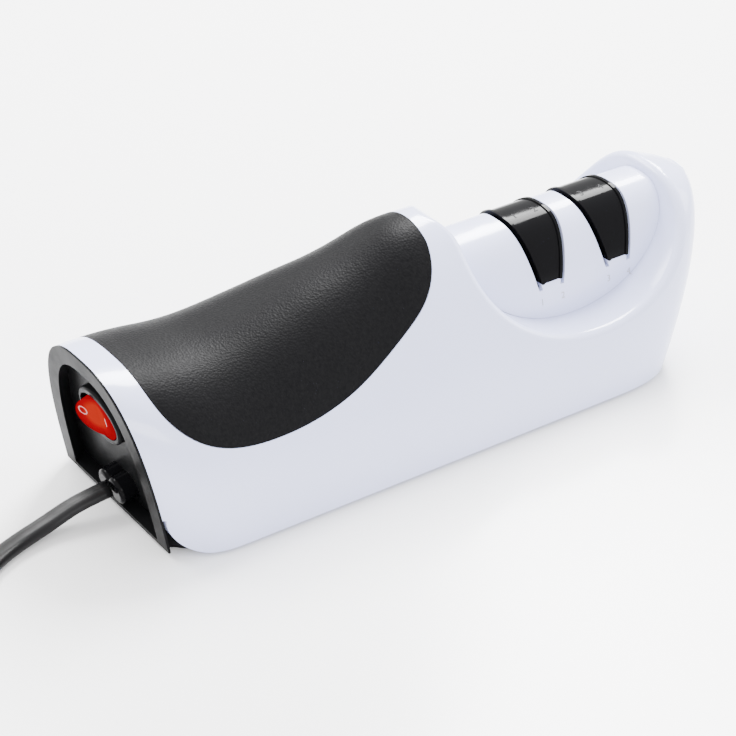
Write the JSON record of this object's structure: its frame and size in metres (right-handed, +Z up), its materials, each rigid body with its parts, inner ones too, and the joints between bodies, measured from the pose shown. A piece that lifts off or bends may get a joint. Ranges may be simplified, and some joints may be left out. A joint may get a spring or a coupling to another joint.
{
  "type": "electric knife sharpener",
  "caption": "Corded kitchen knife sharpener with a padded handle, a scooped sharpening head with angled blade slots, and a rocker switch on its end panel.",
  "frame": {"origin": "centre of the object's base on the surface that its rubber feet stand on, the cord left out", "axes": "+X along the housing from the switch and cord end to the hood over the sharpening head, +Y across it to the rear, +Z up"},
  "size_m": [0.4191, 0.1034, 0.0774],
  "materials": {
    "shell_white": "gloss white moulded plastic",
    "gloss_black": "gloss black plastic",
    "grip_rubber": "fine pebble grain",
    "satin_black": "satin black plastic",
    "foot_rubber": "matt rubber",
    "screw_steel": "plated steel",
    "rocker_red": "red translucent plastic, lit from inside",
    "lamp_glass": "neon pilot lamp",
    "terminal_brass": "brass",
    "can_steel": "drawn steel",
    "inner_plastic": "matt grey plastic",
    "magnet_grey": "sintered ferrite",
    "carbon": "carbon brush",
    "copper_wire": "enamelled copper wire",
    "coarse_grit": "coarse abrasive",
    "fine_grit": "fine ceramic abrasive",
    "board_green": "glass-fibre board",
    "lead_black": "flexible vinyl"
  },
  "bodies": {
    "housing": {"upper_shell": "shell_white", "guide_cover": "shell_white", "coarse_insert": "gloss_black", "fine_insert": "gloss_black", "grip_pad": "grip_rubber", "end_panel": "satin_black", "base_cover": "satin_black", "rubber_feet": "foot_rubber", "base_screws": "screw_steel", "switch_body": "satin_black", "switch_lamp": "lamp_glass", "switch_terminals": "terminal_brass", "strain_relief": "gloss_black", "motor_can": "can_steel", "motor_end_cap": "inner_plastic", "motor_bearing": "terminal_brass", "motor_magnets": "magnet_grey", "motor_brushes": "carbon", "motor_bracket": "inner_plastic", "near_bush": "terminal_brass", "far_bush": "terminal_brass", "wheel_frame": "inner_plastic", "board_pillars": "inner_plastic", "circuit_board": "board_green", "board_capacitor": "gloss_black", "board_rectifier": "gloss_black", "supply_leads": "lead_black", "motor_leads": "lead_black", "cord_lead": "lead_black", "cord_coil": "lead_black", "cord_tail": "lead_black", "cord_tie": "lead_black", "plug_body": "lead_black", "plug_blades": "terminal_brass"},
    "drive": {"motor_shaft": "screw_steel", "rotor_stack": "can_steel", "rotor_windings": "copper_wire", "commutator": "terminal_brass", "cooling_fan": "inner_plastic", "shaft_coupling": "inner_plastic", "grinding_spindle": "screw_steel", "coarse_wheel": "coarse_grit", "fine_wheel": "fine_grit", "near_spacer": "inner_plastic", "middle_spacer": "inner_plastic", "shaft_clip": "screw_steel"},
    "rocker": {"switch_rocker": "rocker_red"}
  },
  "joints": [
    {"name": "drive_spin", "type": "hinge", "parent": "housing", "child": "drive", "pos_m": [0, 0, 0.0295], "axis": [1, 0, 0], "continuous": true},
    {"name": "rocker_tilt", "type": "hinge", "parent": "housing", "child": "rocker", "pos_m": [-0.11954, 0, 0.04089], "axis": [0.1961, 0, -0.9806], "range_deg": [0, 24]}
  ]
}
